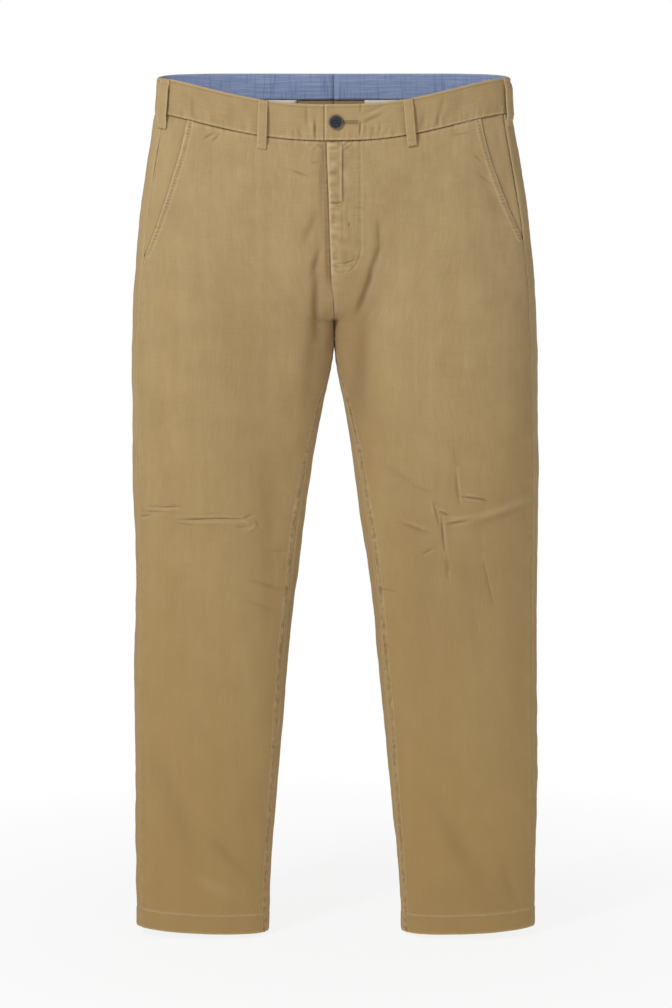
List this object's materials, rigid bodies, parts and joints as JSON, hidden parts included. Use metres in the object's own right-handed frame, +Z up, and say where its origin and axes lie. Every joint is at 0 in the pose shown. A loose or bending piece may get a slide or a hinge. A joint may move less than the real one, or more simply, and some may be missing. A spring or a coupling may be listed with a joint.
{
  "type": "chino trousers",
  "caption": "Khaki cotton twill chino trousers with straight legs, slanted front pockets, a button waistband and belt loops, filled out as if worn.",
  "frame": {"origin": "middle of the waist opening, at the height of its sides, where the wearer's waist is", "axes": "+Z up along the body, -Y the front with the fly, +X the wearer's left"},
  "size_m": [0.4979, 0.1361, 1.0571],
  "materials": {
    "khaki_twill": "matte",
    "blue_chambray": "matte",
    "white_pocketing": "matte",
    "brown_horn": "polished"
  },
  "bodies": {
    "root": {"front_left": "khaki_twill", "front_right": "khaki_twill", "back_left": "khaki_twill", "back_right": "khaki_twill", "pocket_facing_left": "khaki_twill", "pocket_facing_right": "khaki_twill", "waistband_left": "khaki_twill", "waistband_right": "khaki_twill", "waistband_lining_left": "blue_chambray", "waistband_lining_right": "blue_chambray", "back_welt_left": "khaki_twill", "back_welt_right": "khaki_twill", "back_pocket_bag_left": "white_pocketing", "back_pocket_bag_right": "white_pocketing", "belt_loop_front_left": "khaki_twill", "belt_loop_front_right": "khaki_twill", "belt_loop_side_left": "khaki_twill", "belt_loop_side_right": "khaki_twill", "belt_loop_back_left": "khaki_twill", "belt_loop_back_right": "khaki_twill", "belt_loop_centre_back": "khaki_twill", "waist_button": "brown_horn"}
  },
  "joints": []
}
